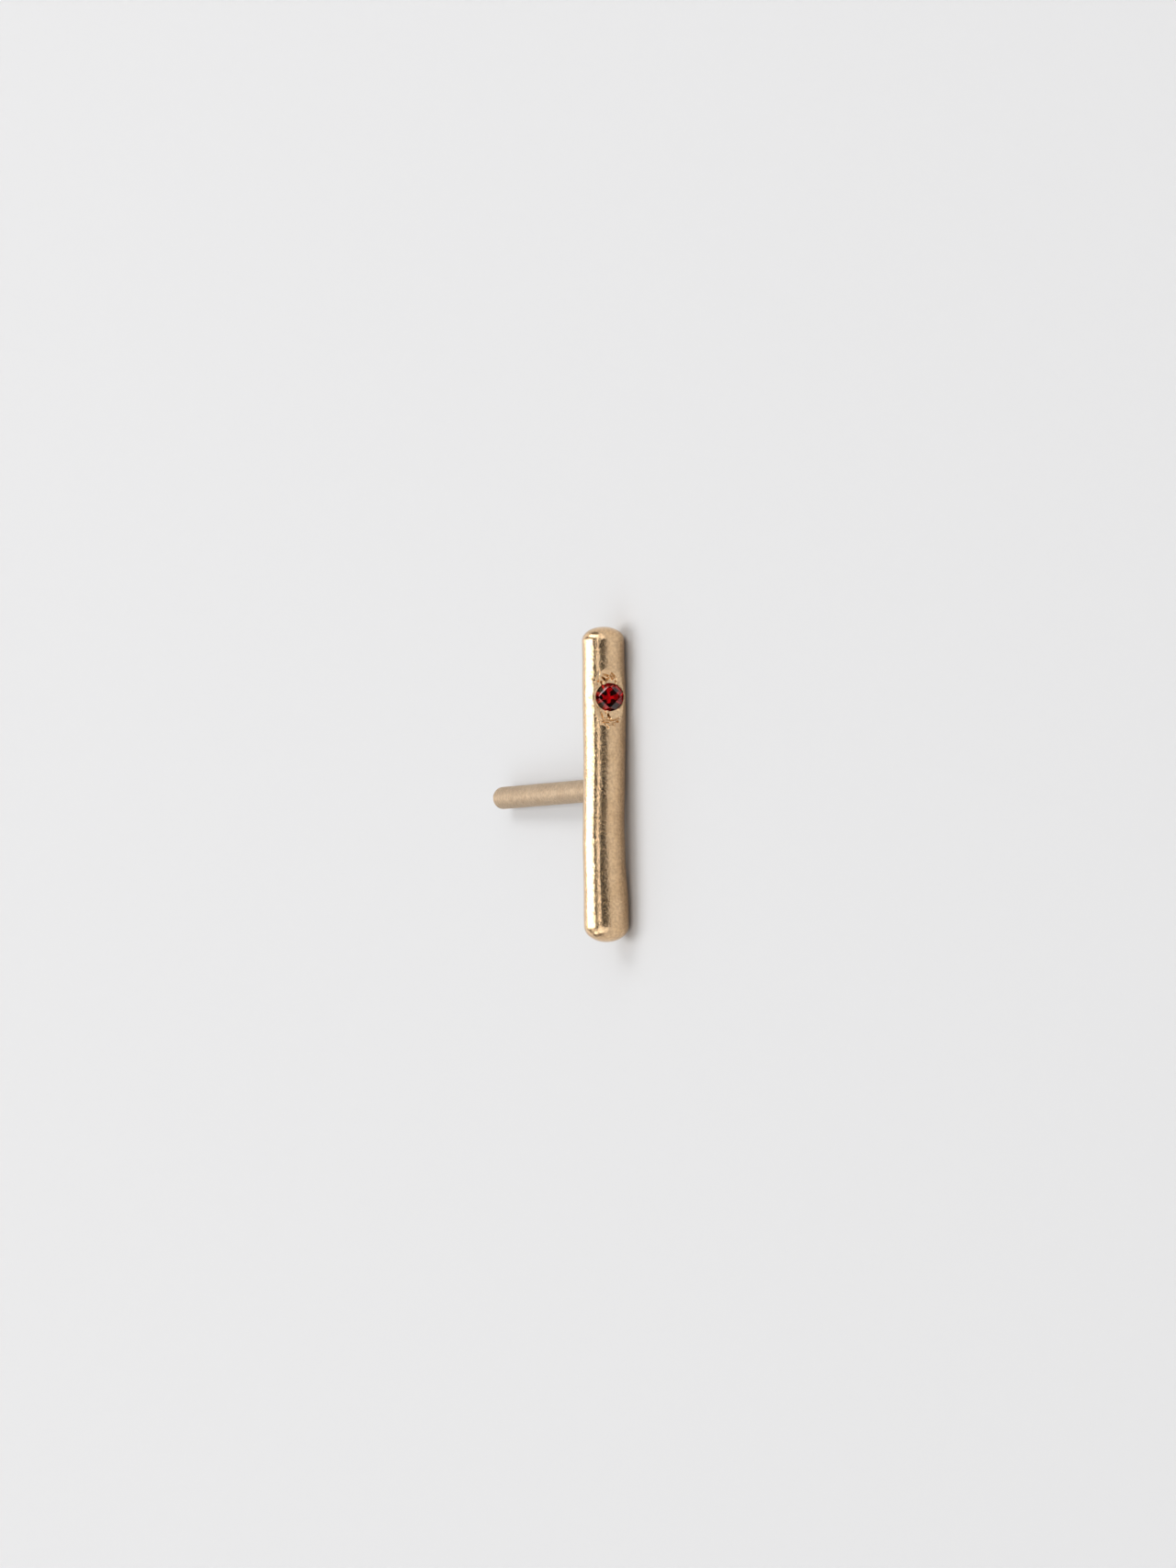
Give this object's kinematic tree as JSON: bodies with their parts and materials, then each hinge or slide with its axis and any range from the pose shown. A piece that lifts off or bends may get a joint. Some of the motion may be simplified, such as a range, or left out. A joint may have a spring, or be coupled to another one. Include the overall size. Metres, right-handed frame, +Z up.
{
  "type": "bar earring",
  "caption": "Slim rounded gold bar stud with a small round red stone set flush near one end and a straight ear post on its back.",
  "frame": {"origin": "on the surface that the earring lies on, under the middle of its box", "axes": "+X along the bar towards the stone end, +Y towards the tip of the post, +Z up from the surface; the stone faces -Y"},
  "size_m": [0.0126, 0.0112, 0.0018],
  "materials": {
    "gold": "polished",
    "red_stone": "polished"
  },
  "bodies": {
    "root": {"bar_with_post": "gold", "stone": "red_stone"}
  },
  "joints": []
}
